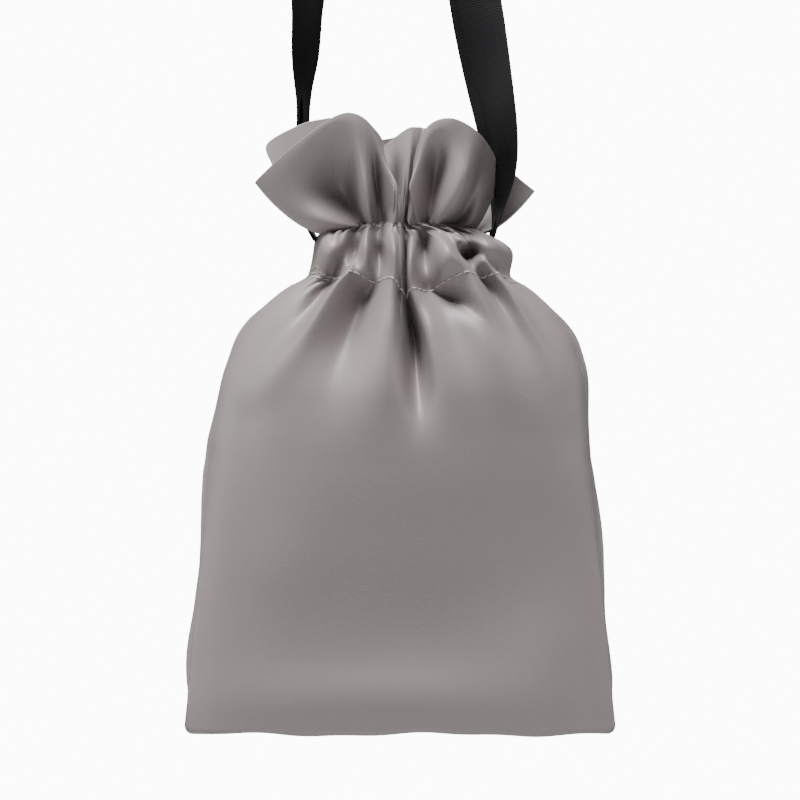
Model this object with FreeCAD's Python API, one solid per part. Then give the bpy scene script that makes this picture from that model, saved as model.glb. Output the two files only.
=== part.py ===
"""Satin drawstring shoe bag, drawn shut and hung by its two ribbon loops.

One length of cloth is folded at the bottom and closed by two side seams. Above the seams the front and the
back are free of each other: each has a casing for the ribbons, then a double header that flares into a
ruffle. Both ribbons run all the way round through the two casings. The left one leaves at the left side as
a loop, and the right one leaves at the right side. The loops hang over one rail, and the frame's origin is
on that rail's axis.
"""

import math
import os

import FreeCAD, Part
from FreeCAD import Vector

# Heights are in millimetres above the bottom fold. X is across the bag, -Y is its front, and Z is up.
rail_height = 450.0          # the axis of the rail that the loops hang over
cloth = 0.9                  # one ply of satin, with the small folds it holds
layer_gap = 0.3              # between neighbouring layers that move apart
seam_height = 262.0          # the side seams end here, and the casings begin
neck_height = 292.0          # upper row of stitches, where the neck is tightest
header_height = 355.0        # top of the ruffle
casing_split = 2.0           # half the gap between front and back at the side slots
header_split = 8.0           # half the gap between the front and back headers at the sides
big = 400.0                  # larger than the whole bag

# Height, half width and half depth of the cloth's outside.
body_stations = [
    (3.0, 124.0, 3.0), (60.0, 118.5, 20.0), (130.0, 112.0, 30.0), (190.0, 105.0, 33.0),
    (225.0, 93.0, 32.0), (248.0, 74.0, 28.0), (seam_height, 57.0, 23.0),
]
casing_stations = [
    (seam_height + layer_gap, 56.5, 23.0), (272.0, 58.0, 25.0), (284.0, 54.0, 23.0),
    (neck_height, 31.0, 16.0),
]
header_stations = [
    (neck_height + layer_gap, 31.0, 16.0), (300.0, 40.0, 20.0), (316.0, 70.0, 29.0), (330.0, 80.0, 34.0),
    (header_height, 66.0, 36.0),
]

# How far inside the outer cloth each layer of a casing lies, outer face and inner face.
left_ribbon_inset = (1.2, 1.8)
right_ribbon_inset = (2.1, 2.7)
facing_inset = (3.2, 4.1)
hem_inset = (4.4, 5.3)
hem_height = 7.0
header_facing_inset = (1.1, 2.0)
top_fold_height = 1.5

ribbon_width = 25.0
ribbon_thickness = 0.6
channel_bottom = 264.5       # lower edge of the ribbons inside the casings

allowance_width = 9.0
stitch_length = 4.2
stitch_pitch = 5.6
thread = 0.5
tack_rows = 3
tack_pitch = 1.3
tack_length = 5.0
seam_stitch_pitch = 8.0
seam_stitch_margin = 16.0    # the seam's thread ends this far below the slot

# A ribbon loop in its own plane: distance in front of (-) or behind (+) the bag's middle, and height above
# the loop's foot. It goes up, over the rail and down again.
loop_route = [(-1.1, 0.0), (-5.0, 60.0), (-10.3, 120.0), (-10.3, 168.4),
              (10.3, 168.4), (10.3, 120.0), (5.0, 60.0), (1.1, 0.0)]
loop_foot = 292.6            # height of the loops' lower ends, just above the slots
# Where each loop starts and how far it leans towards the middle, in degrees.
loops = {"left": (-58.5, 2.5), "right": (58.5, 7.0)}
exit_width = 6.0             # a ribbon is bunched as it leaves its slot
exit_depth = 1.5
exit_clearance = 0.2
exit_drop = 2.0              # the bunched ribbon ends this far under the leaning loop's foot
join_length = 20.0           # the ribbon's ends overlap and are sewn together near the top of the back strand
join_height = 130.0


def export(node, shape):
    """Writes one sub-part, moved from heights above the bottom fold to the rail's axis."""
    placed = shape.copy()
    placed.translate(Vector(0, 0, -rail_height))
    placed.exportStep(f"parts/{node}.step")


def loft(stations, inset=0.0):
    """A closed solid through elliptical sections, drawn in by the inset."""
    sections = []
    for height, half_width, half_depth in stations:
        ellipse = Part.Ellipse(Vector(0, 0, height), half_width - inset, half_depth - inset)
        sections.append(Part.Wire(ellipse.toShape()))
    return Part.makeLoft(sections, True, False)


def layer(stations, inset):
    """One ply of a wall: the space between two insets of the same outside."""
    outer, inner = inset
    return loft(stations, outer).cut(loft(stations, inner))


def half(shape, side, split):
    """The part of a shape in front of (-1) or behind (+1) the middle, clear of it by the split."""
    low = split if side > 0 else -split - big
    return shape.common(Part.makeBox(2 * big, big, 2 * big, Vector(-big, low, -big / 2)))


def between(shape, low, high):
    """The part of a shape between two heights."""
    return shape.common(Part.makeBox(2 * big, 2 * big, high - low, Vector(-big, -big, low)))


def stitch_row(stations, height, side, split):
    """Running stitches on the outside of one half, laid along the ellipse at that height."""
    half_width, half_depth = size_at(stations, height)
    stitches = []
    angle = 0.0
    while angle < math.pi:
        x, y = half_width * math.cos(angle), half_depth * math.sin(angle)
        along = Vector(-half_width * math.sin(angle), half_depth * math.cos(angle), 0)
        speed = along.Length
        if y > split + stitch_length / 2:
            middle = Vector(x, side * y, height)
            direction = Vector(along.x, side * along.y, 0).normalize()
            outward = Vector(x / half_width ** 2, side * y / half_depth ** 2, 0).normalize()
            foot = middle + outward * 3 * thread - direction * (stitch_length / 2)
            stitches.append(Part.makeCylinder(thread / 2, stitch_length, foot, direction))
        angle += stitch_pitch / speed
    return Part.makeCompound(stitches)


def seam_strip(side):
    """The seam allowance: both plies together, as wide as the allowance, from the fold to the slot."""
    narrowed = [(h, w - allowance_width, max(d, 6.0)) for h, w, d in body_stations]
    strip = loft(body_stations, cloth).cut(loft(narrowed, cloth))
    low = 0.0 if side > 0 else -big
    return strip.common(Part.makeBox(big, 2 * cloth, big, Vector(low, -cloth, 6.0)))


def seam_stitches(side):
    """The line of thread that closes one side seam, a short bar on each face of the allowance."""
    stitches = []
    height = 12.0
    while height < seam_height - seam_stitch_margin:
        x = side * (size_at(body_stations, height)[0] - cloth - allowance_width / 2)
        for face in (-1, 1):
            foot = Vector(x - thread / 2, face * (cloth + thread / 4) - thread / 4, height)
            stitches.append(Part.makeBox(thread, thread / 2, stitch_length, foot))
        height += seam_stitch_pitch
    return Part.makeCompound(stitches)


def size_at(stations, height):
    """Half the width and half the depth at a height, read straight between the stations."""
    for (low, low_width, low_depth), (high, high_width, high_depth) in zip(stations, stations[1:]):
        if low <= height <= high:
            share = (height - low) / (high - low)
            return low_width + (high_width - low_width) * share, low_depth + (high_depth - low_depth) * share
    raise ValueError("the height is outside the stations")


def slot_tacks(side):
    """Short bars of thread across the top end of one side seam, where the slot begins."""
    bars = []
    for row in range(tack_rows):
        height = seam_height - tack_pitch * (row + 1)
        x = side * (size_at(body_stations, height)[0] + 2 * thread)
        foot = Vector(x, -tack_length / 2, height)
        bars.append(Part.makeCylinder(thread / 2, tack_length, foot, Vector(0, 1, 0)))
    return Part.makeCompound(bars)


def bottom_fold():
    """The cloth's fold along the bottom: half a round, hollow inside."""
    half_length, radius = body_stations[0][1] - 2.0, body_stations[0][2]
    start = Vector(-half_length, 0, radius)
    outside = Part.makeCylinder(radius, 2 * half_length, start, Vector(1, 0, 0))
    inside = Part.makeCylinder(radius - cloth, 2 * half_length, start, Vector(1, 0, 0))
    return between(outside.cut(inside), 0.0, radius)


def hem():
    """The turned-under edge of a facing, along the bottom of the casing."""
    low = seam_height + layer_gap
    return between(layer(casing_stations, hem_inset), low, low + hem_height)


def ribbon_run(inset):
    """A ribbon all the way round inside the casings, at one depth between their plies."""
    return between(layer(casing_stations, inset), channel_bottom, channel_bottom + ribbon_width)


def ribbon_crossing(side, inset):
    """Where a ribbon passes from the front casing to the back one, across the slot at one side."""
    run = ribbon_run(inset)
    room = casing_split - layer_gap
    low = 0.0 if side > 0 else -big
    return run.common(Part.makeBox(big, 2 * room, 2 * big, Vector(low, -room, -big / 2)))


def ribbon_exit(side):
    """Both strands of one ribbon, bunched in the slot, from their casings up to the loop's foot."""
    inner = max(half_width for _, half_width, _ in casing_stations) - left_ribbon_inset[0] + exit_clearance
    low = -inner - exit_width if side == "left" else inner
    strands = []
    for start in (exit_clearance, -exit_clearance - exit_depth):
        foot = Vector(low, start, channel_bottom)
        strands.append(Part.makeBox(exit_width, exit_depth, loop_foot - exit_drop - channel_bottom, foot))
    return Part.makeCompound(strands)


def arc_radius(before, corner, after):
    """The largest even bend at a corner: 0.45 of the shorter run over the tangent of half the turn."""
    first, second = corner - before, after - corner
    turn = first.getAngle(second)
    return 0.45 * min(first.Length, second.Length) / math.tan(turn / 2), turn


def loop_path():
    """The loop's middle line in the plane X = 0: straight runs joined by tangent arcs."""
    points = [Vector(0, y, z) for y, z in loop_route]
    edges, start = [], points[0]
    for before, corner, after in zip(points, points[1:], points[2:]):
        radius, turn = arc_radius(before, corner, after)
        reach = radius * math.tan(turn / 2)
        entry = corner + (before - corner).normalize() * reach
        leave = corner + (after - corner).normalize() * reach
        inward = ((entry + leave) * 0.5 - corner).normalize()
        middle = corner + inward * (radius / math.cos(turn / 2) - radius)
        edges += [Part.LineSegment(start, entry).toShape(), Part.Arc(entry, middle, leave).toShape()]
        print(f"loop bend radius {radius:.1f} mm, turn {math.degrees(turn):.0f} degrees")
        start = leave
    edges.append(Part.LineSegment(start, points[-1]).toShape())
    return Part.Wire(edges)


def place_loop(side, shape):
    """Leans a shape made in the plane X = 0 and carries it to its side's slot."""
    foot, lean = loops[side]
    sign = -1 if side == "left" else 1
    shape.rotate(Vector(0, 0, 0), Vector(0, 1, 0), -sign * lean)
    shape.translate(Vector(foot, 0, loop_foot))
    return shape


def ribbon_loop(side):
    """The free loop of one ribbon: a flat strip that faces the front."""
    path = loop_path()
    foot = path.Vertexes[0].Point
    along = path.Edges[0].tangentAt(path.Edges[0].FirstParameter)
    across = Vector(1, 0, 0)
    through = along.cross(across).normalize()
    corners = [
        foot + across * (i * ribbon_width / 2) + through * (j * ribbon_thickness / 2)
        for i, j in ((-1, -1), (1, -1), (1, 1), (-1, 1), (-1, -1))
    ]
    sweep = Part.BRepOffsetAPI.MakePipeShell(path)
    sweep.setBiNormalMode(across)
    sweep.add(Part.makePolygon(corners))
    sweep.build()
    sweep.makeSolid()
    solid = sweep.shape()
    print(f"{side} loop {path.Length:.0f} mm long, volume {solid.Volume:.0f},",
          f"section times length {ribbon_width * ribbon_thickness * path.Length:.0f}")
    return place_loop(side, solid)


def ribbon_join(side):
    """The overlapped end of the ribbon, lying on the outside of the back strand."""
    y = -loop_route[2][0] + ribbon_thickness / 2
    strip = Part.makeBox(ribbon_width, ribbon_thickness, join_length,
                         Vector(-ribbon_width / 2, y, join_height))
    return place_loop(side, strip)


def join_stitches(side):
    """A rectangle of stitches that holds the ribbon's overlapped ends."""
    y = -loop_route[2][0] + 1.5 * ribbon_thickness
    half_width, half_length = ribbon_width / 2 - 4.0, join_length / 2 - 4.0
    middle = join_height + join_length / 2
    bars = []
    for sign in (-1, 1):
        bars.append(Part.makeBox(2 * half_width, thread / 2, thread,
                                 Vector(-half_width, y, middle + sign * half_length)))
        bars.append(Part.makeBox(thread, thread / 2, 2 * half_length - 2.0,
                                 Vector(sign * half_width - thread / 2, y, middle - half_length + 1.0)))
    return place_loop(side, Part.makeCompound(bars))


def make_body():
    wall = layer(body_stations, (0.0, cloth))
    export("front_panel", half(wall, -1, 0.0))
    export("back_panel", half(wall, 1, 0.0))
    export("bottom_fold", bottom_fold())
    for side, sign in (("left", -1), ("right", 1)):
        export(f"{side}_seam_allowance", seam_strip(sign))
        export(f"{side}_seam_stitches", seam_stitches(sign))
        export(f"{side}_slot_tacks", slot_tacks(sign))
    export("left_ribbon_crossing", ribbon_crossing(1, left_ribbon_inset))
    export("right_ribbon_crossing", ribbon_crossing(-1, right_ribbon_inset))


def make_mouth(name, side):
    """One half of the mouth: the casing and header, their facings, and the ribbons that they hold."""
    casing_foot = seam_height + layer_gap
    for node, inset in (("casing", (0.0, cloth)), ("casing_facing", facing_inset)):
        ply = between(layer(casing_stations, inset), casing_foot, neck_height)
        export(f"{name}_{node}", half(ply, side, casing_split))
    export(f"{name}_hem", half(hem(), side, casing_split))
    for ribbon, inset in (("left", left_ribbon_inset), ("right", right_ribbon_inset)):
        export(f"{name}_{ribbon}_ribbon_run", half(ribbon_run(inset), side, casing_split))
    header_foot, fold_foot = neck_height + layer_gap, header_height - top_fold_height
    for node, inset in (("header", (0.0, cloth)), ("header_facing", header_facing_inset)):
        ply = between(layer(header_stations, inset), header_foot, fold_foot)
        export(f"{name}_{node}", half(ply, side, header_split))
    fold = between(layer(header_stations, (0.0, header_facing_inset[1])), fold_foot, header_height)
    export(f"{name}_top_fold", half(fold, side, header_split))
    lower = stitch_row(casing_stations, casing_foot + thread, side, casing_split)
    export(f"{name}_lower_stitches", lower)
    neck = stitch_row(header_stations, header_foot + 2 * thread, side, header_split)
    export(f"{name}_neck_stitches", neck)


def make_loops():
    for side in loops:
        export(f"{side}_ribbon_exit", ribbon_exit(side))
        export(f"{side}_ribbon_loop", ribbon_loop(side))
        export(f"{side}_ribbon_join", ribbon_join(side))
        export(f"{side}_join_stitches", join_stitches(side))


os.makedirs("parts", exist_ok=True)
make_body()
make_mouth("front", -1)
make_mouth("back", 1)
make_loops()
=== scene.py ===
"""Satin drawstring shoe bag, drawn shut and hung by its two ribbon loops.

Each side of the bag is one cloth: body, casing and ruffle. It starts from an outline and short lists of
named folds and puffs. A cloth simulation then lets the gathered cloth buckle between its rows of stitches,
and a few pockets are pressed in. The ribbons, stitches and seams are laid on that shape. Dimensions are in
millimetres: x across the bag, depth outward from the bag's middle, and height above the bottom fold.
"""

import math
from collections import namedtuple

import bpy
import numpy as np
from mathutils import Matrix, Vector


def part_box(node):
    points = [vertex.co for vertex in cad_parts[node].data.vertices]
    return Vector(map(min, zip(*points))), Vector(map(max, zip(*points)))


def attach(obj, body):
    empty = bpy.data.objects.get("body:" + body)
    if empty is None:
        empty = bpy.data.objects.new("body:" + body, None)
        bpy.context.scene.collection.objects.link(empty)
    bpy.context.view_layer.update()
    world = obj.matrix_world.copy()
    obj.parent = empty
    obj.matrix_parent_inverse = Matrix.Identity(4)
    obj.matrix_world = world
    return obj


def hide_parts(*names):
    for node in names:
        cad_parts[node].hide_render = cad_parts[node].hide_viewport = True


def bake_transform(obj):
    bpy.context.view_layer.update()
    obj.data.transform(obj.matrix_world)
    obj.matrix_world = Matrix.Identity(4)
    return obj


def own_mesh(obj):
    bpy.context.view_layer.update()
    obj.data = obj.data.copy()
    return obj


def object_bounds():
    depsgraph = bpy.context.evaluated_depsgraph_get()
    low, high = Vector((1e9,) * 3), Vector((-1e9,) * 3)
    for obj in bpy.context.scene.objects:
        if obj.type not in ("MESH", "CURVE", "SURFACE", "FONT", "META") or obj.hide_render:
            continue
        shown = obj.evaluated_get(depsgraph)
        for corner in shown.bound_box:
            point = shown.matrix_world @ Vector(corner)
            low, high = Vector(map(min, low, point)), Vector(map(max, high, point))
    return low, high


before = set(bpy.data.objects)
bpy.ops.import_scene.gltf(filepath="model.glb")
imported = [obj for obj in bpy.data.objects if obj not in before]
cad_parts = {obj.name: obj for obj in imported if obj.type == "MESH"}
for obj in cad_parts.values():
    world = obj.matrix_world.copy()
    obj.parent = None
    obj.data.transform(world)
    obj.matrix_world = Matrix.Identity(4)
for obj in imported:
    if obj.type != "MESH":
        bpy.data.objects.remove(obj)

mm = 0.001
cad_low, cad_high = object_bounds()
rail_height = -cad_low[2] / mm          # the frame's origin is on the rail's axis


def half_width_of(node):
    """Half of a CAD node's width, which the visible cloth shares."""
    low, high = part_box(node)
    return (high.x - low.x) / 2 / mm


# The outline. The two rows of stitches are at the seam height and the neck height.
seam_height = 262.0
neck_height = 292.0
body_half_width = half_width_of("front_panel")
row_half_width = half_width_of("front_lower_stitches")
casing_half_width = half_width_of("front_casing")
neck_half_width = 28.0
taper = 0.092                           # the body narrows by this much per mm of height, at each side
shoulder_height = 170.0                 # above this the outline rounds in towards the lower stitch row
casing_round_height = 274.0             # above this the casing rounds in towards the neck

# How far the bag's middle sways to the right, and how deep it is, by height.
sway = [(170, 0), (225, 3), (262, 5), (276, 7.5), (292, -2)]
fullness = [(0, 1.6), (16, 9), (45, 10.5), (75, 14), (110, 22), (150, 33), (192, 38), (232, 28), (262, 20),
            (278, 20), (292, 8)]
corner_radius = 5.0                     # the bottom corners are turned soft
back_roll = 7.5                         # how far the cloth of the back is pushed out beside a side seam
row_dip = 11.0                          # the middle of the lower stitch row is pulled down this far
row_dip_width = 17.0
row_dip_x = 6.0
row_dip_height = 256.0
ply = 0.8
ruffle_thickness = 2.0
ruffle_length = 62.0                    # of flat cloth, from the neck to the top edge

# How strongly the ruffle sets off from the neck and comes in to its top edge, and how far its sides sag.
leave_outward = 62.0
leave_upward = 58.0
arrive_outward = 34.0
arrive_upward = 44.0
arrive_forward = 8.0
sag_left = 58.0
sag_right = 50.0

# The grid of points of one side. Rows and columns are odd in number: every second one is simulated.
columns = 299
crowding = 0.9                          # the columns lie closer together towards the sides
body_rows = 60
gathered_rows = 150
ruffle_rows = 89
gathers_start = 150.0                   # the body's rows end at this height, and the closer ones begin
smoothing_passes = 6

# The cloth simulation: how much wider the cloth is cut than its folds use, and how firmly it is held.
spare_width = [(0, 0), (60, 0.01), (110, 0.03), (190, 0.09), (250, 0.24), (262, 0.32), (292, 0.34),
               (354, 0.16)]
holding = [(0, 0.6), (60, 0.25), (110, 0.08), (200, 0.04), (262, 0.02), (292, 0.02), (354, 0.05)]
settle_frames = 18
settle_limit = 10.0                     # no point of the cloth moves further
broad_passes = 14                       # of smoothing, which leave only the broad part of the movement
crisp_height = 150.0                    # above this the small creases fade in
crisp_fade = 70.0                       # and over this far they become full
pocket_clearance = 3.0                  # from the deepest pockets to the bag's middle

# Ribbons and threads.
casing_margin = 52                      # columns of cloth beyond the ribbons inside a casing, at each end
ribbon_width = 25.0
pinch = 0.45                            # a ribbon is bunched to this share of its width at its slot
pinch_height = 52.0                     # and is flat again this far above
pinch_start = 8.0                       # it starts to widen this far below the neck
slot_points = 9
bunch_half_width = 2.6                  # of the bunched ribbon in its slot
bunch_waver = 0.5
ribbon_thickness = 0.5
stitch_length = 4.2
stitch_pitch = 5.6
stitch_start = 2.0                      # a row of stitches keeps this far from both ends of its line
thread_diameter = 0.7
fray_diameter = 0.32
fray_count = {"left": 5, "right": 2}
join_low = 424.0                        # the sewn join lies between these heights
join_high = 446.0
join_row_reach = 8.5                    # its rows of stitches lie this far from the ribbon's middle
allowance_width = 9.0                   # of the seam allowance, with its stitches half way
sewn_inset = 4.5

# A fold runs from the neck through the lower stitch row and dies out in the body. It is a ridge where its
# depth is positive and a hollow where it is negative, and it leans over to one side.
Fold = namedtuple("Fold", "neck stitches end end_height width end_width depth lean")
# The places in the front's lists were read off the picture and rounded. The back's are a guess.
front_folds = [
    Fold(-23, -39, -68, 204, 4.0, 9, -9, 0),
    Fold(-15, -24, -86, 178, 4.6, 16, 13, -4),
    Fold(-12, -16, -46, 160, 3.4, 20, -15, 0),
    Fold(-6, -9, -15, 150, 8.0, 20, 15, 5),
    Fold(-2, -4, -2, 206, 2.0, 3, -11, 0),
    Fold(1, 1, 2, 216, 2.4, 3.5, 5, 0),
    Fold(4, 5, 12, 158, 3.4, 13, -27, 0),
    Fold(7, 10, 32, 168, 4.0, 14, 12, -5),
    Fold(12, 17, 62, 214, 3.4, 10, -11, 0),
    Fold(16, 34, 64, 166, 9.0, 20, 11, 4),
    Fold(21, 44, 84, 196, 3.4, 10, -10, 0),
    Fold(25, 50, 92, 190, 5.0, 12, 8, 4),
]
back_folds = [
    Fold(-24, -38, -70, 196, 5.0, 14, -7, 0),
    Fold(-17, -26, -52, 170, 6.0, 15, 8, -3),
    Fold(-8, -13, -26, 184, 4.0, 13, -9, 0),
    Fold(0, 0, -2, 158, 6.0, 17, 9, 3),
    Fold(8, 13, 22, 180, 4.5, 14, -9, 0),
    Fold(17, 26, 50, 172, 6.0, 15, 8, 3),
    Fold(25, 40, 76, 194, 5.0, 14, -7, 0),
]

# A puff swells the cloth out over an oval; a pocket, with a negative depth, sinks it in.
Puff = namedtuple("Puff", "x height half_width half_height depth")
front_puffs = [
    Puff(-40, 277, 10, 12, 11), Puff(-17, 273, 2.6, 13, 10), Puff(-13, 276, 2.6, 10, -14),
    Puff(-5, 277, 7, 13, 11), Puff(4, 278, 2.2, 10, -12), Puff(8, 270, 2.6, 13, 6),
    Puff(24, 273, 8, 12, 10), Puff(32, 277, 3, 6, 5), Puff(38, 276, 6.5, 4, -20),
    Puff(50, 280, 9, 10, 11),
    Puff(14, 200, 8, 18, -4),
    Puff(-66, 98, 30, 36, 4.5), Puff(16, 62, 50, 30, -6.0), Puff(84, 48, 24, 30, 4.0),
    Puff(-20, 22, 60, 14, 2.5),
    Puff(-88, 180, 12, 20, -2.0), Puff(96, 176, 10, 26, -2.0),
]
# Narrow pockets and the hollow under the neck, pressed in once the cloth has settled.
front_pockets = [
    Puff(-25, 276, 4.2, 9, -14), Puff(14, 278, 4.0, 9, -15), Puff(39, 275, 7, 4.2, -2.6),
    Puff(9, 216, 5, 24, -10),
]
back_puffs = [Puff(-43, 274, 12, 14, 6), Puff(-4, 276, 10, 13, 5), Puff(36, 274, 11, 13, 6)]

# The ruffle's top edge. Share runs from -1 at the left side to 1 at the right side. The front ruffle's left
# end is folded back behind its own tip, and the left ribbon passes behind it.
EdgePoint = namedtuple("EdgePoint", "share x height depth")
front_edge = [
    EdgePoint(-1.0, -40, 354, -4), EdgePoint(-0.94, -58, 350, -5), EdgePoint(-0.88, -78, 337, -4),
    EdgePoint(-0.82, -73, 324, 0), EdgePoint(-0.77, -84, 315, 8), EdgePoint(-0.50, -30, 354, 33),
    EdgePoint(-0.33, -14, 345, 25),
    EdgePoint(-0.22, -9.5, 337, 13), EdgePoint(-0.14, -12, 335, 3), EdgePoint(0.0, -2, 343, 5),
    EdgePoint(0.16, 7, 348, 6), EdgePoint(0.30, 13, 348, 5), EdgePoint(0.38, 7.5, 326, 14),
    EdgePoint(0.45, 12, 342, 23), EdgePoint(0.60, 27, 351, 31), EdgePoint(0.74, 41, 346, 23),
    EdgePoint(0.87, 51, 336, 12), EdgePoint(1.0, 60, 319, -1),
]
back_edge = [
    EdgePoint(-1.0, -46, 336, 4), EdgePoint(-0.6, -34, 347, 14), EdgePoint(-0.2, -14, 343, 22),
    EdgePoint(0.2, 12, 347, 24), EdgePoint(0.55, 42, 340, 18), EdgePoint(1.0, 78, 312, 4),
]
# A pleat of the ruffle, by share at the neck and at the top edge. It is deepest at peak, from 0 at the neck
# to 1 at the edge.
Pleat = namedtuple("Pleat", "neck top width depth lean peak")
front_pleats = [
    Pleat(-0.70, -0.66, 0.07, 10, -3, 0.35), Pleat(-0.57, -0.59, 0.08, -27, 0, 0.46),
    Pleat(-0.43, -0.47, 0.04, 10, 0, 0.28), Pleat(-0.32, -0.38, 0.035, -15, 0, 0.32),
    Pleat(-0.14, -0.25, 0.06, 12, 6, 0.42), Pleat(0.02, -0.02, 0.05, -12, 0, 0.35),
    Pleat(0.20, 0.15, 0.03, 7, 0, 0.30), Pleat(0.32, 0.28, 0.03, -11, 0, 0.30),
    Pleat(0.44, 0.42, 0.05, 12, -5, 0.42), Pleat(0.57, 0.58, 0.07, -20, 0, 0.50),
    Pleat(0.74, 0.74, 0.08, 10, 4, 0.50), Pleat(0.88, 0.88, 0.05, -8, 0, 0.34),
]
back_pleats = [
    Pleat(-0.60, -0.62, 0.09, -6, 0, 0.40), Pleat(-0.40, -0.40, 0.08, 7, 3, 0.45),
    Pleat(-0.16, -0.16, 0.07, -7, 0, 0.40), Pleat(0.06, 0.06, 0.08, 7, 3, 0.45),
    Pleat(0.28, 0.28, 0.07, -7, 0, 0.40), Pleat(0.50, 0.50, 0.09, 6, 3, 0.45),
    Pleat(0.75, 0.75, 0.08, -6, 0, 0.40),
]

# Each ribbon goes up from its slot, over the rail and down again. A point is x, distance in front of (-) or
# behind (+) the middle, and height.
routes = {
    "left": [(-48, 0, 282), (-58, 6, 297), (-60, 19, 325), (-58, 18, 352), (-55, -2, 400),
             (-51.5, -10.3, 461), (-51.5, 10.3, 461), (-53, 13, 400), (-55, 29, 352), (-56, 30, 325),
             (-56, 17, 298), (-48, 2, 284)],
    "right": [(53, -1, 283), (58, -8, 308), (61, -17, 335), (51, -14, 387), (38, -10.3, 461),
              (35, 10.3, 461), (46, 0, 387), (55, -5, 335), (55, 3, 308), (52, 2, 283)],
}
# How far a ribbon is turned from facing the front, in degrees, by height.
turns = {
    "left": [(282, 80), (300, 84), (350, 84), (368, 80), (390, 62), (421, 50), (461, 5)],
    "right": [(283, 84), (310, 64), (335, 55), (387, 28), (421, 6), (461, 0)],
}


def at(x, depth, height):
    """A point of the frame from millimetres, with depth towards the front."""
    return Vector((x, -depth, height - rail_height)) * mm


def through(points, places):
    """A smooth curve through (place, value) points, read at the places given."""
    knots = np.array([p[0] for p in points], float)
    values = np.array([p[1] for p in points], float)
    steps = np.diff(values) / np.diff(knots)
    slopes = np.concatenate([steps[:1], (steps[:-1] + steps[1:]) / 2, steps[-1:]])
    slopes[1:-1][steps[:-1] * steps[1:] <= 0] = 0
    places = np.clip(np.asarray(places, float), knots[0], knots[-1])
    i = np.clip(np.searchsorted(knots, places) - 1, 0, len(knots) - 2)
    gap = knots[i + 1] - knots[i]
    t = (places - knots[i]) / gap
    return ((2 * t**3 - 3 * t**2 + 1) * values[i] + (t**3 - 2 * t**2 + t) * gap * slopes[i]
            + (3 * t**2 - 2 * t**3) * values[i + 1] + (t**3 - t**2) * gap * slopes[i + 1])


def smoothstep(t):
    t = np.clip(t, 0, 1)
    return t * t * (3 - 2 * t)


def bump(distance, width):
    return np.exp(-(distance / width) ** 2)


def crease(distance, width, depth):
    """Across a fold: a ridge is round on top, and a hollow is sharp at its bottom."""
    return bump(distance, width) if depth > 0 else np.exp(-(distance**2 / width**2 + 0.12) ** 0.85)


# ---------------------------------------------------------------- the cloth's shape

def half_width(height):
    """Half width of the outline: a taper, a round shoulder, and the casing's round top."""
    round_in = np.clip((height - shoulder_height) / (seam_height - shoulder_height), 0, 1)
    at_row = body_half_width - taper * seam_height
    body = body_half_width - taper * height - (at_row - row_half_width) * (1 - (1 - round_in**3) ** 0.75)
    rise = np.clip((height - casing_round_height) / (neck_height - casing_round_height), 0, 1)
    casing = neck_half_width + (casing_half_width - neck_half_width) * np.sqrt(1 - rise**2)
    return np.where(height < seam_height, body, casing)


def lower_cloth(share, height, folds, puffs):
    """x, depth and height of body and casing, on a grid of shares across and heights up."""
    x = through(sway, height) + half_width(height) * share
    depth = through(fullness, height) * np.clip(1 - share**2, 0, 1) ** 0.62
    near_edge = smoothstep((1 - np.abs(share)) / 0.10)
    shift, folded = np.zeros_like(x), np.zeros_like(x)
    for fold in folds:
        below = np.clip((seam_height - height) / (seam_height - fold.end_height), 0, 1)
        above = np.clip((height - seam_height) / (neck_height - seam_height), 0, 1)
        towards_end = (fold.end - fold.stitches) * below**0.85
        towards_neck = (fold.neck - fold.stitches) * above
        middle = fold.stitches + towards_end + towards_neck
        width = fold.width + (fold.end_width - fold.width) * below - 0.35 * fold.width * above
        strength = (1 - smoothstep(below)) * (1 - 0.55 * smoothstep(above)) * near_edge
        shape = crease(x - middle, width, fold.depth) * strength
        depth = depth + fold.depth * shape
        folded = folded + fold.depth * shape
        shift = shift + fold.lean * shape
    for puff in puffs:
        oval = bump(x - puff.x, puff.half_width) * bump(height - puff.height, puff.half_height)
        depth = depth + puff.depth * oval * near_edge
    pull = row_dip * bump(x - row_dip_x, row_dip_width) * bump(height - row_dip_height, 22)
    tilt = 0.28 * np.clip(folded, -9, 12) * bump(height - seam_height, 16)
    return x + shift, depth, height - pull + tilt


def puckers(share, height):
    """Small gathers that the two rows of stitches pull into the cloth."""
    wave = np.sin(share * 46 + 2.1 * np.sin(share * 9)) + 0.5 * np.sin(share * 83 + 2.0)
    near = 0.6 * bump(height - seam_height, 8) + 1.7 * bump(height - neck_height, 6)
    return wave * near


def edge_waves(share, height):
    """How the bottom corners are rounded and its edge wavers, and how the side seams pull."""
    at_foot = np.clip(1 - height / 26, 0, 1) ** 2
    past = np.clip(np.abs(share) * body_half_width - (body_half_width - corner_radius), 0, corner_radius)
    corner = (corner_radius - np.sqrt(corner_radius**2 - past**2)) * at_foot
    waver = 0.9 * (np.sin(share * 7 + 0.6) + 0.5 * np.sin(share * 17)) * at_foot
    seam = smoothstep((np.abs(share) - 0.90) / 0.10) * (height < seam_height)
    pull = np.sin(height * 0.31 + 3 * np.sin(height * 0.05)) * seam
    return corner + waver, -0.25 * np.sign(share) * pull, 0.8 * pull


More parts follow.
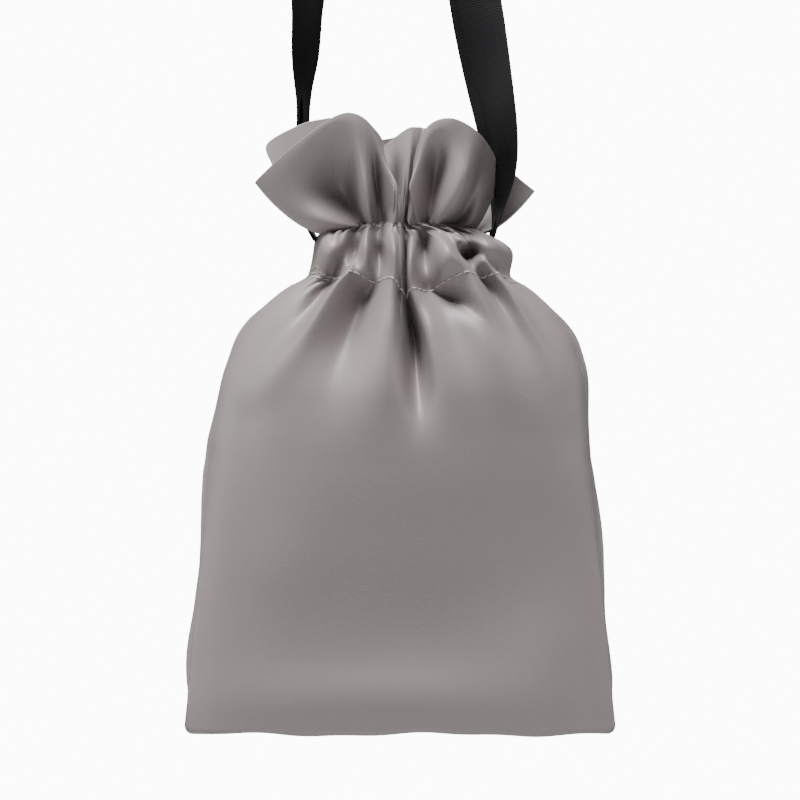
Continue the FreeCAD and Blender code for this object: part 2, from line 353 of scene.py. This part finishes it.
def ruffle(share, rise, edge, pleats, folds, puffs):
    """x, depth and height of the ruffle. Rise is 0 at the neck and 1 at the top edge."""
    foot = np.full_like(share, neck_height)
    foot_x, foot_depth, foot_height = lower_cloth(share, foot, folds, puffs)
    top_x = through([(p.share, p.x) for p in edge], share)
    top_depth = through([(p.share, p.depth) for p in edge], share)
    top_height = through([(p.share, p.height) for p in edge], share)
    start, end = (1 - rise) ** 2 * (1 + 2 * rise), rise**2 * (3 - 2 * rise)
    leave, arrive = rise * (1 - rise) ** 2, -(rise**2) * (1 - rise)
    tip = -min(edge, key=lambda point: point.x).share
    sideways = np.where(share < 0, np.maximum(share / tip, -1), share) ** 3
    upright = 1 - np.abs(sideways) ** 1.33
    x = start * foot_x + end * top_x + leave * leave_outward * sideways + arrive * arrive_outward * sideways
    sag = np.where(share < 0, sag_left, sag_right) * np.abs(sideways)
    rising = leave * (leave_upward * upright - sag)
    height = start * foot_height + end * top_height + rising + arrive * arrive_upward
    forward = (10 + 0.9 * top_depth) * (1 - 0.5 * np.abs(sideways))
    depth = start * foot_depth + end * top_depth + leave * forward - arrive * arrive_forward
    for pleat in pleats:
        middle = pleat.neck + (pleat.top - pleat.neck) * rise
        span = np.where(rise < pleat.peak, rise / pleat.peak, (1 - rise) / (1 - pleat.peak))
        strength = 0.3 + 0.7 * smoothstep(span)
        strength = strength * (1 - 0.85 * smoothstep((rise - pleat.peak) / (1 - pleat.peak)))
        shape = crease(share - middle, pleat.width * (0.7 + 0.7 * rise), pleat.depth) * strength
        depth = depth + pleat.depth * shape
        x = x + pleat.lean * shape
    return x, depth, height


def smoothed(grid, passes):
    """The grid with its inner points drawn towards their neighbours, a number of times over."""
    result = grid.copy()
    for _ in range(passes):
        result[1:-1] = (result[:-2] + 2 * result[1:-1] + result[2:]) / 4
        result[:, 1:-1] = (result[:, :-2] + 2 * result[:, 1:-1] + result[:, 2:]) / 4
    return result


def side_grid(folds, puffs, pockets, edge, pleats, outward):
    """The outside of one side of the bag as a grid of points, with each row's height on the flat cloth."""
    angles = np.linspace(-1, 1, columns) * math.pi / 2 * crowding
    share_row = np.sin(angles) / math.sin(math.pi / 2 * crowding)
    loose_rows = np.linspace(0, gathers_start, body_rows)
    close_rows = np.linspace(gathers_start + 1, neck_height, gathered_rows)
    low_rows = np.concatenate([loose_rows, close_rows])
    rises = np.linspace(0, 1, ruffle_rows + 1)[1:]
    share, height = np.meshgrid(share_row, low_rows)
    x, depth, lift = lower_cloth(share, height, folds, puffs)
    raised, drawn, tucked = edge_waves(share, height)
    x, lift = x + drawn, lift + raised + 0.5 * puckers(share + 0.02, height)
    depth = depth + puckers(share, height) + tucked * (1 - share**2) * 2
    if outward < 0:
        uneven = 0.8 + 0.2 * np.sin(height * 0.06 + share)
        fade = smoothstep(height / 40) * (1 - smoothstep((height - 232) / 24))
        x = x + back_roll * uneven * np.sign(share) * bump(np.abs(share) - 0.965, 0.022) * fade
    low = np.stack([x, depth, lift], axis=-1)
    share, rise = np.meshgrid(share_row, rises)
    x, depth, lift = ruffle(share, rise, edge, pleats, folds, puffs)
    depth = depth + puckers(share, neck_height + ruffle_length * rise)
    high = np.stack([x, depth, lift], axis=-1)
    flat_height = np.concatenate([low_rows, neck_height + ruffle_length * rises])
    grid = smoothed(np.concatenate([low, high]), smoothing_passes)
    grid = settled(grid, flat_height, outward)
    below_neck = smoothstep((neck_height - flat_height) / 4)[:, None]
    for pocket in pockets:
        sideways = bump(grid[..., 0] - pocket.x, pocket.half_width)
        upright = bump(grid[..., 2] - pocket.height, pocket.half_height)
        grid[..., 1] += pocket.depth * (sideways * upright) * below_neck
    grid[..., 1] = clear_of_middle(grid[..., 1], share_row, flat_height)
    world = np.empty_like(grid)
    world[..., 0] = grid[..., 0]
    world[..., 1] = -outward * grid[..., 1]
    world[..., 2] = grid[..., 2] - rail_height
    return world * mm, flat_height


def clear_of_middle(depth, share_row, flat_height):
    """Keeps the casing's pockets out of the bag's middle, where the ribbons run."""
    inside = smoothstep((1 - np.abs(share_row)) / 0.14)[None, :]
    below_neck = smoothstep((neck_height - flat_height) / 6)[:, None]
    kept = (depth + np.sqrt(depth**2 + 4 * pocket_clearance**2)) / 2
    return depth + (kept - depth) * inside * below_neck


def doubled(values):
    """The same grid with a smooth row put in between each pair of rows."""
    padded = np.concatenate([2 * values[:1] - values[1:2], values, 2 * values[-1:] - values[-2:-1]])
    between = (-padded[:-3] + 9 * padded[1:-2] + 9 * padded[2:-1] - padded[3:]) / 16
    result = np.empty((2 * len(values) - 1, *values.shape[1:]))
    result[::2] = values
    result[1::2] = between
    return result


def settled(grid, flat_height, outward):
    """Lets the gathered cloth, cut wider than its folds use, buckle between its stitches and seams."""
    coarse = grid[::2, ::2] * (1, -outward, 1) * mm
    height = flat_height[::2]
    rows, across = coarse.shape[:2]
    piece = new_mesh("settling", coarse.reshape(-1, 3), grid_faces(rows, across, 0, outward < 0))
    piece.shape_key_add(name="gathered")
    rest = piece.shape_key_add(name="cut")
    wide = 1 + through(spare_width, height)[:, None]
    cut = coarse * np.stack([wide, wide, np.ones_like(wide)], axis=-1)
    rest.data.foreach_set("co", cut.ravel())
    hold = piece.vertex_groups.new(name="hold")
    held = np.repeat(through(holding, height)[:, None], across, axis=1)
    sewn = (np.abs(height - seam_height) < 1.2) | (np.abs(height - neck_height) < 1.2) | (height < 1)
    held[sewn] = 1
    held[:, [0, 1, -2, -1]] = 1
    for i, weight in enumerate(held.ravel()):
        hold.add([i], float(weight), "REPLACE")
    cloth = piece.modifiers.new("cloth", "CLOTH")
    cloth.settings.quality = 6
    cloth.settings.mass = 0.12
    cloth.settings.tension_stiffness = 12
    cloth.settings.compression_stiffness = 12
    cloth.settings.shear_stiffness = 3
    cloth.settings.bending_stiffness = 0.3
    cloth.settings.vertex_group_mass = "hold"
    cloth.settings.rest_shape_key = rest
    cloth.settings.effector_weights.gravity = 0
    cloth.settings.use_pressure = True
    cloth.settings.uniform_pressure_force = 0.5
    cloth.collision_settings.use_collision = False
    cloth.point_cache.frame_end = settle_frames
    for step in range(1, settle_frames + 1):
        bpy.context.scene.frame_set(step)
    final = piece.evaluated_get(bpy.context.evaluated_depsgraph_get())
    moved = np.empty(rows * across * 3)
    final.data.vertices.foreach_get("co", moved)
    bpy.data.objects.remove(piece)
    bpy.context.scene.frame_set(1)
    shift = (moved.reshape(rows, across, 3) - coarse) * (1, -outward, 1) / mm
    far = np.linalg.norm(shift, axis=-1, keepdims=True)
    shift = shift * np.minimum(1, settle_limit / np.maximum(far, 1e-9))
    broad = smoothed(shift, broad_passes)
    fine = smoothstep((height - crisp_height) / crisp_fade)[:, None, None]
    shift = fine * shift + (1 - fine) * broad
    shift = doubled(np.swapaxes(doubled(shift), 0, 1))
    return grid + np.swapaxes(shift, 0, 1)


def normals(grid, outward):
    """Unit normals of a grid, pointing out of the bag."""
    across = np.gradient(grid, axis=1)
    up = np.gradient(grid, axis=0)
    normal = np.cross(across, up) * outward
    return normal / np.maximum(np.linalg.norm(normal, axis=-1, keepdims=True), 1e-12)


# ---------------------------------------------------------------- meshes

def new_mesh(name, points, faces):
    mesh = bpy.data.meshes.new(name)
    mesh.from_pydata([tuple(p) for p in points], [], faces)
    mesh.polygons.foreach_set("use_smooth", [True] * len(mesh.polygons))
    mesh.update()
    piece = bpy.data.objects.new(name, mesh)
    bpy.context.scene.collection.objects.link(piece)
    return piece


def map_flat(piece, places):
    """Places on the flat cloth, in metres, one for each point of a piece."""
    layer = piece.data.uv_layers.new(name="cloth")
    corner = np.zeros(len(piece.data.loops), int)
    piece.data.loops.foreach_get("vertex_index", corner)
    layer.data.foreach_set("uv", places[corner].ravel())


def grid_faces(rows, across, start=0, flip=False):
    faces = []
    for r in range(rows - 1):
        for c in range(across - 1):
            a = start + r * across + c
            quad = (a, a + 1, a + across + 1, a + across)
            faces.append(quad[::-1] if flip else quad)
    return faces


def closed_sheet(name, outside, inside, flip):
    """A closed sheet between two grids of points of the same size."""
    rows, across = outside.shape[:2]
    points = np.concatenate([outside.reshape(-1, 3), inside.reshape(-1, 3)])
    count = rows * across
    faces = grid_faces(rows, across, 0, flip) + grid_faces(rows, across, count, not flip)
    border = [c for c in range(across)] + [r * across + across - 1 for r in range(1, rows)]
    border += [(rows - 1) * across + c for c in range(across - 2, -1, -1)]
    border += [r * across for r in range(rows - 2, 0, -1)]
    for a, b in zip(border, border[1:] + border[:1]):
        quad = (b, a, a + count, b + count)
        faces.append(quad[::-1] if flip else quad)
    return new_mesh(name, points, faces)


def cloth_piece(name, grid, flat_height, outward):
    """A closed sheet of real thickness, thicker in the ruffle, where the cloth is double."""
    is_double = smoothstep((flat_height - neck_height) / 8)
    thickness = (ply + (ruffle_thickness - ply) * is_double)[:, None, None] * mm
    piece = closed_sheet(name, grid, grid - normals(grid, outward) * thickness, outward < 0)
    add_cloth_map(piece, grid.shape[1], flat_height)
    return piece


def add_cloth_map(piece, across, flat_height):
    """Maps both faces of a closed sheet to the flat cloth, so that the weave follows the folds."""
    spread = np.linspace(-body_half_width, body_half_width, across)
    places = np.array([(x * mm, h * mm) for h in flat_height for x in spread])
    map_flat(piece, np.concatenate([places, places]))


def ring_faces(count, sides):
    """Faces of a tube made of rings of points, one ring after the other, with both ends closed."""
    faces = []
    for i in range(count - 1):
        for k in range(sides):
            a, b = i * sides + k, i * sides + (k + 1) % sides
            faces.append((a, b, b + sides, a + sides))
    faces.append(tuple(range(sides))[::-1])
    faces.append(tuple(range((count - 1) * sides, count * sides)))
    return faces


def tube(points, radius, sides=6):
    """Points and faces of a closed round tube along a short line."""
    points = np.asarray(points, float)
    along = np.gradient(points, axis=0)
    along /= np.maximum(np.linalg.norm(along, axis=1, keepdims=True), 1e-12)
    reference = np.array([0.13, 0.41, 0.9])
    first = np.cross(along, reference)
    first /= np.linalg.norm(first, axis=1, keepdims=True)
    second = np.cross(along, first)
    ring = []
    for i in range(len(points)):
        narrow = 0.55 if i in (0, len(points) - 1) else 1.0
        for k in range(sides):
            angle = 2 * math.pi * k / sides
            spoke = math.cos(angle) * first[i] + math.sin(angle) * second[i]
            ring.append(points[i] + narrow * radius * spoke)
    return ring, ring_faces(len(points), sides)


def tubes_piece(name, lines, radius):
    points, faces = [], []
    for line in lines:
        ring, sides = tube(line, radius)
        faces += [tuple(i + len(points) for i in face) for face in sides]
        points += ring
    return new_mesh(name, points, faces)


def stitched(line, outward_normals, offset):
    """Short stitches along a line of the cloth, lying on its surface."""
    line = line + outward_normals * offset * mm
    run = np.concatenate([[0], np.cumsum(np.linalg.norm(np.diff(line, axis=0), axis=1))]) / mm
    stitches, start = [], stitch_start
    while start + stitch_length < run[-1] - stitch_start:
        places = np.linspace(start, start + stitch_length, 5)
        stitches.append(np.stack([np.interp(places, run, line[:, k]) for k in range(3)], axis=1))
        start += stitch_pitch
    return stitches


# ---------------------------------------------------------------- camera and ribbons

def make_camera():
    frame_width, distance, eye_height = 460.0, 1725.0, 191.5
    sensor_width = 36.0
    data = bpy.data.cameras.new("camera")
    data.sensor_width = sensor_width
    data.lens = sensor_width * distance / frame_width
    camera = bpy.data.objects.new("camera", data)
    camera.location = at(0, distance, eye_height)
    camera.rotation_euler = (math.pi / 2, 0, 0)
    bpy.context.scene.collection.objects.link(camera)
    bpy.context.scene.camera = camera


def spline_points(side):
    """Points along the smooth line that one ribbon follows."""
    curve = bpy.data.curves.new(f"{side}_route", "CURVE")
    curve.dimensions = "3D"
    curve.resolution_u = 24
    spline = curve.splines.new("NURBS")
    spline.points.add(len(routes[side]) - 1)
    for point, (x, behind, height) in zip(spline.points, routes[side]):
        point.co = (*at(x, -behind, height), 1)
    spline.order_u = 3
    spline.use_endpoint_u = True
    holder = bpy.data.objects.new(f"{side}_route", curve)
    bpy.context.scene.collection.objects.link(holder)
    mesh = bpy.data.meshes.new_from_object(holder)
    points = np.array([v.co[:] for v in mesh.vertices])
    bpy.data.objects.remove(holder)
    bpy.data.meshes.remove(mesh)
    return points


def ribbon_frame(side, path):
    """Directions across and through the ribbon at each point of its path."""
    along = np.gradient(path, axis=0)
    along /= np.linalg.norm(along, axis=1, keepdims=True)
    height = path[:, 2] / mm + rail_height
    turn = np.radians(through(turns[side], height))
    hand = 1 if side == "left" else -1
    wanted = np.stack([np.cos(turn), hand * np.sin(turn), np.zeros_like(turn)], axis=1)
    across = wanted - along * np.sum(wanted * along, axis=1, keepdims=True)
    across /= np.linalg.norm(across, axis=1, keepdims=True)
    return across, np.cross(along, across)


def ribbon_strip(name, path, across, through_it):
    """A flat woven strip with a slightly thicker selvedge along both edges."""
    section = [(-1.0, 0.55), (-0.985, 1.0), (-0.93, 1.0), (-0.90, 0.7), (0.0, 0.7), (0.90, 0.7), (0.93, 1.0),
               (0.985, 1.0), (1.0, 0.55)]
    section += [(x, -y) for x, y in section[::-1]]
    half_thickness = ribbon_thickness / 2 * mm
    height = path[:, 2] / mm + rail_height
    spread = pinch + (1 - pinch) * smoothstep((height - neck_height + pinch_start) / pinch_height)
    half_span = spread[:, None] * ribbon_width / 2 * mm
    rings = [path + across * x * half_span + through_it * y * half_thickness for x, y in section]
    points = np.stack(rings, axis=1).reshape(-1, 3)
    piece = new_mesh(name, points, ring_faces(len(path), len(section)))
    run = np.concatenate([[0], np.cumsum(np.linalg.norm(np.diff(path, axis=0), axis=1))])
    map_flat(piece, np.array([(x * ribbon_width / 2 * mm, r) for r in run for x, _ in section]))
    return piece, run[-1]


def make_ribbon(side):
    path = spline_points(side)
    across, through_it = ribbon_frame(side, path)
    ribbon, length = ribbon_strip(f"{side}_ribbon", path, across, through_it)
    ribbon.data.materials.append(ribbon_satin)
    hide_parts(f"{side}_ribbon_loop")
    pieces = [ribbon] + make_join(side, path, across, through_it)
    for piece in pieces:
        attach(piece, f"{side}_loop")
        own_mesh(piece)


def make_join(side, path, across, through_it):
    """The ribbon's overlapped end, near the top of the back strand, and the stitches that hold it."""
    height = path[:, 2] / mm + rail_height
    back = np.arange(len(path)) > len(path) // 2
    spot = np.where(back & (height > join_low) & (height < join_high))[0]
    side_out = 1 if through_it[spot[0], 1] > 0 else -1
    face = through_it[spot] * side_out
    ply_path = path[spot] + face * ribbon_thickness * 1.1 * mm
    join, _ = ribbon_strip(f"{side}_ribbon_end", ply_path, across[spot] * 0.98, through_it[spot])
    join.data.materials.append(ribbon_satin)
    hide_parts(f"{side}_ribbon_join")
    inner = slice(2, -2)
    surface = ply_path + face * (ribbon_thickness / 2 + 0.15) * mm
    lines = []
    for edge in (-1, 1):
        line = surface[inner] + across[spot][inner] * edge * join_row_reach * mm
        lines += stitched(line, face[inner], 0)
    for end in (2, -3):
        crosswise = [surface[end] + across[spot][end] * s * mm for s in (-8, -4, 0, 4, 8)]
        lines.append(crosswise)
    stitches = tubes_piece(f"{side}_ribbon_end_stitches", lines, thread_diameter / 2 * mm)
    stitches.data.materials.append(dark_thread)
    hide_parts(f"{side}_join_stitches")
    return [join, stitches]


# ---------------------------------------------------------------- materials

wave_factor = 6.28                      # between a wave texture's scale and the spacing of its lines


def new_material(name, colour, roughness):
    material = bpy.data.materials.new(name)
    material.use_nodes = True
    shader = material.node_tree.nodes["Principled BSDF"]
    shader.inputs["Base Color"].default_value = (*colour, 1)
    shader.inputs["Roughness"].default_value = roughness
    return material, shader


def woven(name, colour, tint, roughness, sheen, rib, rib_angle, bump_strength, gloss_level):
    """A woven cloth: rib lines across the flat cloth, soft colour variation and a slight change of gloss."""
    material, shader = new_material(name, colour, roughness)
    nodes, links = material.node_tree.nodes, material.node_tree.links
    place = nodes.new("ShaderNodeUVMap")
    place.uv_map = "cloth"
    turned = nodes.new("ShaderNodeMapping")
    turned.inputs["Rotation"].default_value = (0, 0, rib_angle)
    links.new(place.outputs["UV"], turned.inputs["Vector"])
    ribs = nodes.new("ShaderNodeTexWave")
    ribs.inputs["Scale"].default_value = 1 / rib / wave_factor
    ribs.inputs["Distortion"].default_value = 1.2
    ribs.inputs["Detail"].default_value = 2.0
    links.new(turned.outputs["Vector"], ribs.inputs["Vector"])
    slub = nodes.new("ShaderNodeTexNoise")
    slub.inputs["Scale"].default_value = 900
    slub.inputs["Detail"].default_value = 3
    links.new(place.outputs["UV"], slub.inputs["Vector"])
    relief = nodes.new("ShaderNodeMath")
    relief.operation = "ADD"
    links.new(ribs.outputs["Color"], relief.inputs[0])
    links.new(slub.outputs["Fac"], relief.inputs[1])
    bumps = nodes.new("ShaderNodeBump")
    bumps.inputs["Strength"].default_value = bump_strength
    bumps.inputs["Distance"].default_value = 0.00012
    links.new(relief.outputs["Value"], bumps.inputs["Height"])
    links.new(bumps.outputs["Normal"], shader.inputs["Normal"])
    clouds = nodes.new("ShaderNodeTexNoise")
    clouds.inputs["Scale"].default_value = 9
    clouds.inputs["Detail"].default_value = 3
    links.new(place.outputs["UV"], clouds.inputs["Vector"])
    blend = nodes.new("ShaderNodeMix")
    blend.data_type = "RGBA"
    blend.inputs["A"].default_value = (*colour, 1)
    blend.inputs["B"].default_value = (*tint, 1)
    links.new(clouds.outputs["Fac"], blend.inputs["Factor"])
    links.new(blend.outputs["Result"], shader.inputs["Base Color"])
    gloss = nodes.new("ShaderNodeMapRange")
    gloss.inputs["To Min"].default_value = roughness - 0.05
    gloss.inputs["To Max"].default_value = roughness + 0.06
    links.new(clouds.outputs["Fac"], gloss.inputs["Value"])
    links.new(gloss.outputs["Result"], shader.inputs["Roughness"])
    shader.inputs["Sheen Weight"].default_value = sheen
    shader.inputs["Sheen Roughness"].default_value = 0.4
    shader.inputs["Specular IOR Level"].default_value = gloss_level
    return material


satin = woven("satin_cloth", (0.205, 0.184, 0.182), (0.240, 0.202, 0.197), roughness=0.49, sheen=0.06,
              rib=0.0006, rib_angle=1.1, bump_strength=0.20, gloss_level=0.7)
ribbon_satin = woven("ribbon_satin", (0.003, 0.003, 0.004), (0.006, 0.006, 0.007), roughness=0.52, sheen=0.0,
                     rib=0.0007, rib_angle=1.57, bump_strength=0.4, gloss_level=0.18)
pale_thread = new_material("pale_thread", (0.55, 0.52, 0.49), 0.6)[0]
dark_thread = new_material("dark_thread", (0.02, 0.02, 0.022), 0.55)[0]


def twist_thread(material, turn_length):
    """The twist of a sewing thread, as a fine slanted rib."""
    nodes, links = material.node_tree.nodes, material.node_tree.links
    place = nodes.new("ShaderNodeTexCoord")
    wave = nodes.new("ShaderNodeTexWave")
    wave.bands_direction = "DIAGONAL"
    wave.inputs["Scale"].default_value = 1 / turn_length / wave_factor
    links.new(place.outputs["Object"], wave.inputs["Vector"])
    bumps = nodes.new("ShaderNodeBump")
    bumps.inputs["Strength"].default_value = 0.5
    bumps.inputs["Distance"].default_value = 0.0001
    links.new(wave.outputs["Color"], bumps.inputs["Height"])
    links.new(bumps.outputs["Normal"], material.node_tree.nodes["Principled BSDF"].inputs["Normal"])


twist_thread(pale_thread, 0.0006)
twist_thread(dark_thread, 0.0006)

make_camera()
for side in routes:
    make_ribbon(side)


# ---------------------------------------------------------------- the two cloths and what is sewn to them

def row_at(flat_height, wanted):
    return int(np.argmin(np.abs(flat_height - wanted)))


def inner_ribbons(name, grid, flat_height, outward):
    """The two ribbons inside one casing, each a strip that follows the cloth, part of the way in."""
    low, high = row_at(flat_height, seam_height + 2.5), row_at(flat_height, neck_height - 3)
    part = slice(low, high)
    for ribbon, share in (("left", 0.30), ("right", 0.18)):
        strip = grid[part, casing_margin:-casing_margin] * (1, share, 1)
        under = strip + np.array([0, outward * ribbon_thickness * mm, 0])
        piece = closed_sheet(f"{name}_{ribbon}_ribbon_inside", strip, under, outward < 0)
        add_cloth_map(piece, strip.shape[1], flat_height[part])
        piece.data.materials.append(ribbon_satin)
        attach(piece, f"{name}_mouth")
        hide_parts(f"{name}_{ribbon}_ribbon_run")


def make_side(name, folds, puffs, pockets, edge, pleats, outward):
    grid, flat_height = side_grid(folds, puffs, pockets, edge, pleats, outward)
    face_out = normals(grid, outward)
    cloth = cloth_piece(f"{name}_cloth", grid, flat_height, outward)
    cloth.data.materials.append(satin)
    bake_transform(cloth)
    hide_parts(f"{name}_panel", f"{name}_casing", f"{name}_casing_facing", f"{name}_hem",
                f"{name}_header", f"{name}_header_facing", f"{name}_top_fold")
    for row, height, proud in (("lower", seam_height, 0.25), ("neck", neck_height, -0.1)):
        i = row_at(flat_height, height)
        lines = stitched(grid[i, 14:-14], face_out[i, 14:-14], proud)
        threads = tubes_piece(f"{name}_{row}_row", lines, thread_diameter / 2 * mm)
        threads.data.materials.append(pale_thread)
        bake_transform(threads)
        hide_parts(f"{name}_{row}_stitches")
    inner_ribbons(name, grid, flat_height, outward)
    return grid, flat_height


front_grid, front_flat = make_side("front", front_folds, front_puffs, front_pockets, front_edge,
                                   front_pleats, 1)
back_grid, _ = make_side("back", back_folds, back_puffs, [], back_edge, back_pleats, -1)


def strip_between(name, first, second, thickness, material):
    """A narrow band of cloth between two lines of equal length."""
    first, second = np.asarray(first), np.asarray(second)
    offset = np.array([0, thickness / 2 * mm, 0])
    rows = [first + offset, second + offset, second - offset, first - offset]
    points = np.concatenate(rows)
    count, faces = len(first), []
    for k in range(4):
        for i in range(count - 1):
            a, b = k * count + i, (k + 1) % 4 * count + i
            faces.append((a, a + 1, b + 1, b))
    faces += [(0, count, 2 * count, 3 * count), tuple(k * count + count - 1 for k in (3, 2, 1, 0))]
    piece = new_mesh(name, points, faces)
    map_flat(piece, points[:, [0, 2]])
    piece.data.materials.append(material)
    return piece


def make_seam(side):
    """One side seam: the allowance inside, its line of thread, the tacks at the slot and frayed ends."""
    column, inward = (0, 1) if side == "left" else (-1, -1)
    top = row_at(front_flat, seam_height - 3)
    edge = (front_grid[12:top, column] + back_grid[12:top, column]) / 2
    inner = edge + np.array([inward * allowance_width * mm, 0, 0])
    strip = strip_between(f"{side}_allowance", edge + np.array([inward * 0.6 * mm, 0, 0]), inner, 1.2, satin)
    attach(strip, "bag")
    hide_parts(f"{side}_seam_allowance")
    sewn = edge + np.array([inward * sewn_inset * mm, 0, 0])
    lines = stitched(sewn, np.tile([0, -1.0, 0], (len(sewn), 1)), 0.9)
    threads = tubes_piece(f"{side}_seam_thread", lines, thread_diameter / 2 * mm)
    slot_top = Vector(edge[-1])
    bars = []
    for k in range(3):
        bar = [(-inward * 0.6, y, -1.4 * k) for y in (-2.5, -1.2, 0, 1.2, 2.5)]
        bars.append([slot_top + Vector(place) * mm for place in bar])
    frays = []
    for k in range(fray_count[side]):
        reach = [int(t * (10 + 5 * ((k * 3) % 4))) for t in (0, 1, 2, 3)]
        spots = []
        for i, steps in enumerate(reach):
            spots.append(front_grid[top + 2 * k + (i * k) % 3, column + inward * (4 + steps)])
        frays.append([spot + np.array([0, -(0.5 + 0.5 * (i % 2)) * mm, 0]) for i, spot in enumerate(spots)])
    tacks = tubes_piece(f"{side}_slot_tack", bars, thread_diameter / 2 * mm)
    loose = tubes_piece(f"{side}_frayed_threads", frays, fray_diameter / 2 * mm)
    for piece, node in ((threads, f"{side}_seam_stitches"), (tacks, f"{side}_slot_tacks"), (loose, None)):
        piece.data.materials.append(pale_thread)
        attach(piece, "bag")
        if node:
            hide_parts(node)


def make_slot_ribbon(side):
    """The ribbon bunched in its slot, and its crossing between the two casings."""
    sign = -1 if side == "left" else 1
    x, behind, height = routes[side][0]
    foot = at(x - sign * 1.5, -behind, height)
    for node, low, lift, depth in (("exit", 268, -1, 1.6), ("crossing", 266, -5, 2.2)):
        bottom = at(foot.x / mm - sign * 3, 0, low)
        top = Vector((foot.x, 0, foot.z + lift * mm))
        first, second = [], []
        for i in range(slot_points):
            spot = bottom.lerp(top, i / (slot_points - 1))
            to_left = -bunch_half_width * mm - bunch_waver * mm * math.sin(i * 1.1)
            to_right = bunch_half_width * mm + bunch_waver * mm * math.cos(i * 0.9)
            first.append(spot + Vector((to_left, 0, 0)))
            second.append(spot + Vector((to_right, 0, 0)))
        piece = strip_between(f"{side}_ribbon_in_slot_{node}", first, second, depth, ribbon_satin)
        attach(piece, "bag")
        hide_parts(f"{side}_ribbon_{node}")


def make_bottom():
    """The fold of the cloth along the bottom, which joins the two sides."""
    first, second = front_grid[0], back_grid[0]
    rows = []
    for share in np.linspace(0, 1, 7):
        sag = math.sin(share * math.pi) * 1.1 * mm
        rows.append(first * (1 - share) + second * share - np.array([0, 0, sag]))
    outside = np.stack(rows)
    inside = outside + np.array([0, 0, ply * mm])
    piece = closed_sheet("bottom_edge", outside, inside, True)
    map_flat(piece, np.concatenate([outside.reshape(-1, 3), inside.reshape(-1, 3)])[:, [0, 1]])
    piece.data.materials.append(satin)
    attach(piece, "bag")
    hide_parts("bottom_fold")


for side in routes:
    make_seam(side)
    make_slot_ribbon(side)
make_bottom()


# ---------------------------------------------------------------- stage and light

def make_plane(name, size, place, upright, colour, glow):
    half = size / 2
    corners = [(-half, -half), (half, -half), (half, half), (-half, half)]
    points = [(x, 0, y) if upright else (x, y, 0) for x, y in corners]
    plane = new_mesh(name, points, [(0, 1, 2, 3)])
    plane.location = place
    material, shader = new_material(name, colour, 0.9)
    shader.inputs["Emission Color"].default_value = (1, 1, 1, 1)
    shader.inputs["Emission Strength"].default_value = glow
    plane.data.materials.append(material)


def make_light(name, place, aim, size, power):
    data = bpy.data.lights.new(name, "AREA")
    data.shape = "RECTANGLE"
    data.size, data.size_y = size
    data.energy = power
    light = bpy.data.objects.new(name, data)
    light.location = place
    light.rotation_euler = (Vector(aim) - Vector(place)).to_track_quat("-Z", "Y").to_euler()
    bpy.context.scene.collection.objects.link(light)


make_plane("floor", 4, (0, 0, -0.9), False, (0.62, 0.62, 0.62), 0.32)
middle = (0, 0, -0.25)
make_light("left_softbox", (-1.3, -0.3, 0.1), middle, (0.6, 1.3), 9)
make_light("right_softbox", (1.3, -0.3, 0.1), middle, (0.6, 1.3), 6)
make_light("top_softbox", (-0.25, -0.55, 1.1), middle, (0.9, 0.45), 56)
make_light("back_softbox", (0.2, 1.5, 0.9), middle, (1.6, 0.8), 15)
make_light("low_softbox", (0.1, -0.55, -0.86), middle, (1.4, 0.3), 0.5)


def make_world():
    """A white background, which lights the bag only faintly."""
    world = bpy.data.worlds.new("studio")
    world.use_nodes = True
    nodes, links = world.node_tree.nodes, world.node_tree.links
    seen = nodes.new("ShaderNodeLightPath")
    strength = nodes.new("ShaderNodeMapRange")
    strength.inputs["To Min"].default_value = 0.04
    strength.inputs["To Max"].default_value = 12.0
    links.new(seen.outputs["Is Camera Ray"], strength.inputs["Value"])
    links.new(strength.outputs["Result"], nodes["Background"].inputs["Strength"])
    nodes["Background"].inputs["Color"].default_value = (1, 1, 1, 1)
    bpy.context.scene.world = world


make_world()
